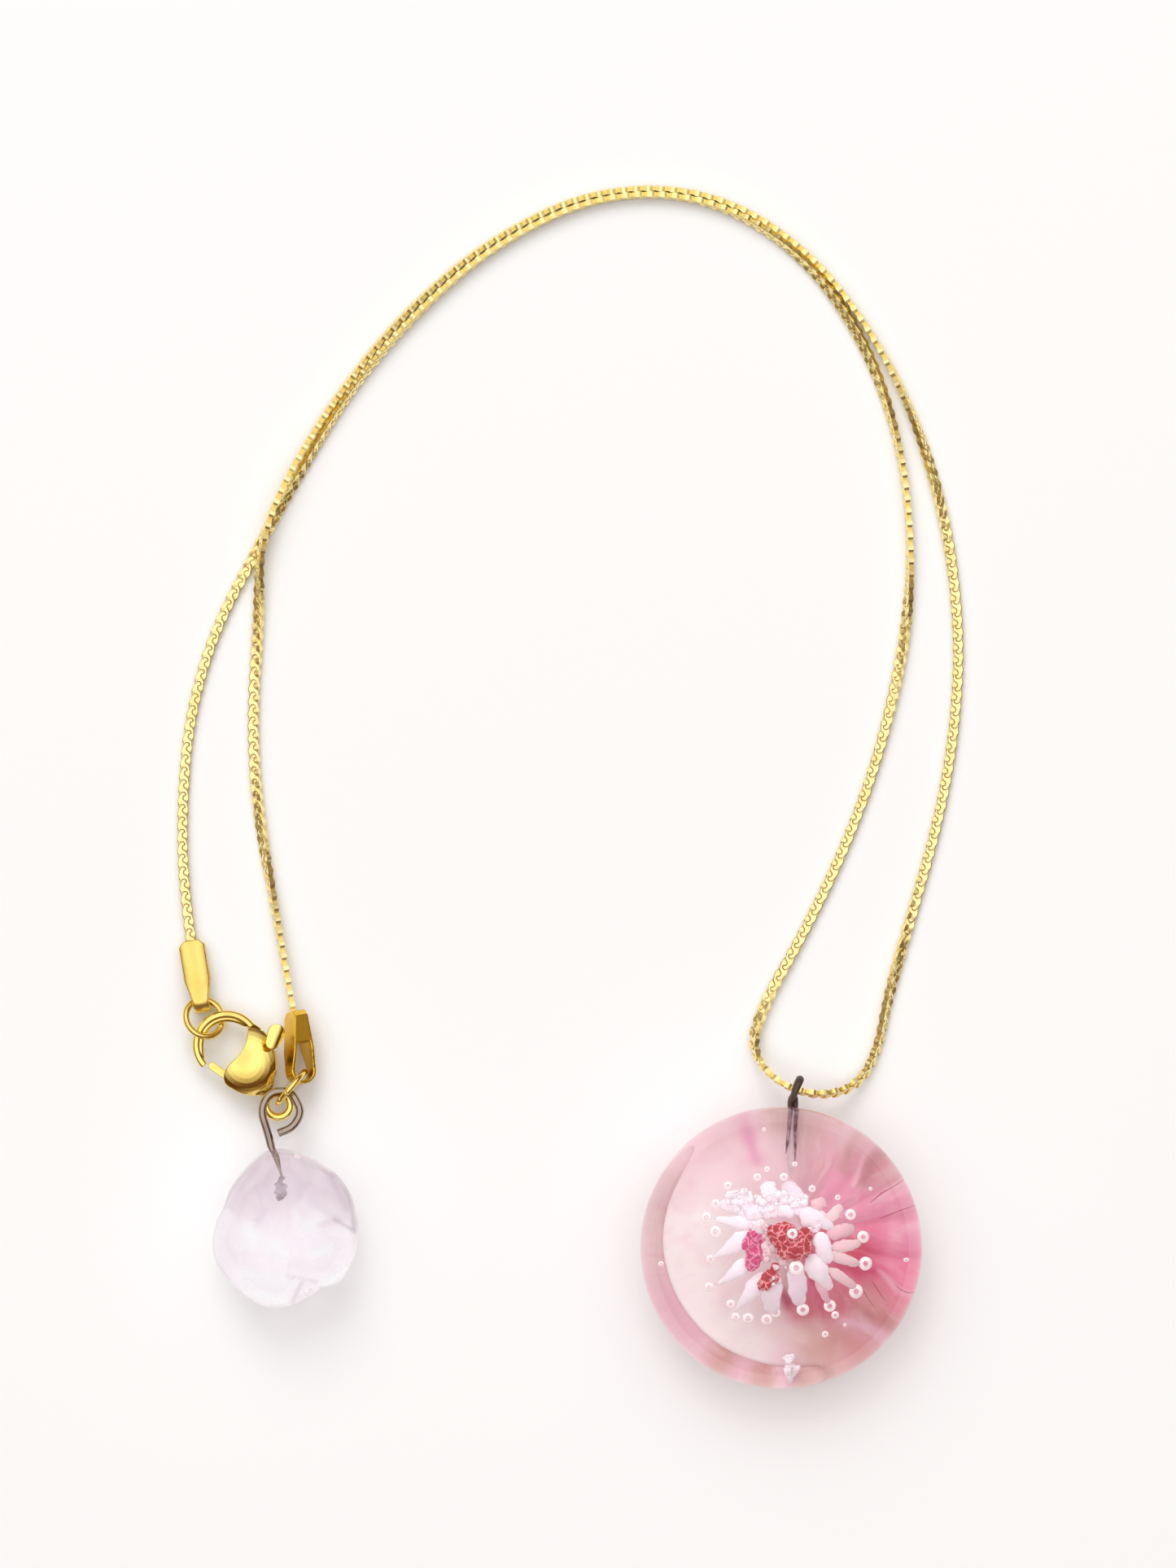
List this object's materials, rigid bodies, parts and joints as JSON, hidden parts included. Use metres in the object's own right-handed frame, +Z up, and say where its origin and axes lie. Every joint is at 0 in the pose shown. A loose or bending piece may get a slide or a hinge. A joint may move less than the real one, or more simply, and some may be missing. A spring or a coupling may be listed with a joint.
{
  "type": "pendant necklace",
  "caption": "Fine chain necklace lying closed, with a domed glass flower pendant, a lobster clasp and a small lobed glass drop.",
  "frame": {"origin": "middle of the glass pendant's flat back, on the surface that the necklace lies on", "axes": "+Z up from that surface; +Y from the pendant up the arch of the chain; +X to the right as it lies"},
  "size_m": [0.0728, 0.1117, 0.0125],
  "materials": {
    "clear_glass": "clear polished glass",
    "red_glass": "deep red crackled glass",
    "magenta_glass": "magenta glass",
    "white_glass": "milky white glass with a lilac edge",
    "pink_glass": "pink glass, creased",
    "rose_glass": "thin rose tint",
    "dark_wire": "dark brown-grey wire, dull",
    "chain_gold": "bright pale gold plate, deeper in the grooves",
    "cap_gold": "satin gold sheet, deeper in the folds",
    "ring_gold": "polished gold wire",
    "clasp_gold": "polished gold cast clasp",
    "drop_glass": "clear glass with a faint lilac tint",
    "hook_wire": "polished grey wire, brown in the bend"
  },
  "bodies": {
    "necklace": {"pendant_glass": "clear_glass", "flower_core": "red_glass", "magenta_bud": "magenta_glass", "red_bud": "red_glass", "white_petals": "white_glass", "pink_petals": "pink_glass", "rose_veil": "rose_glass", "pendant_bail": "dark_wire", "chain": "chain_gold", "end_cap_left": "cap_gold", "end_cap_right": "cap_gold", "jump_ring_left": "ring_gold", "jump_ring_right": "ring_gold", "clasp_body": "clasp_gold", "drop_glass": "drop_glass", "drop_hook": "hook_wire"},
    "lever": {"clasp_lever": "clasp_gold"}
  },
  "joints": [
    {"name": "lever_hinge", "type": "hinge", "parent": "necklace", "child": "lever", "pos_m": [-0.04857, 0.01685, 0.0017], "axis": [0, 0, -1], "range_deg": [0, 18], "stiffness_Nm_per_rad": 0.002, "springref_deg": -5.73}
  ]
}
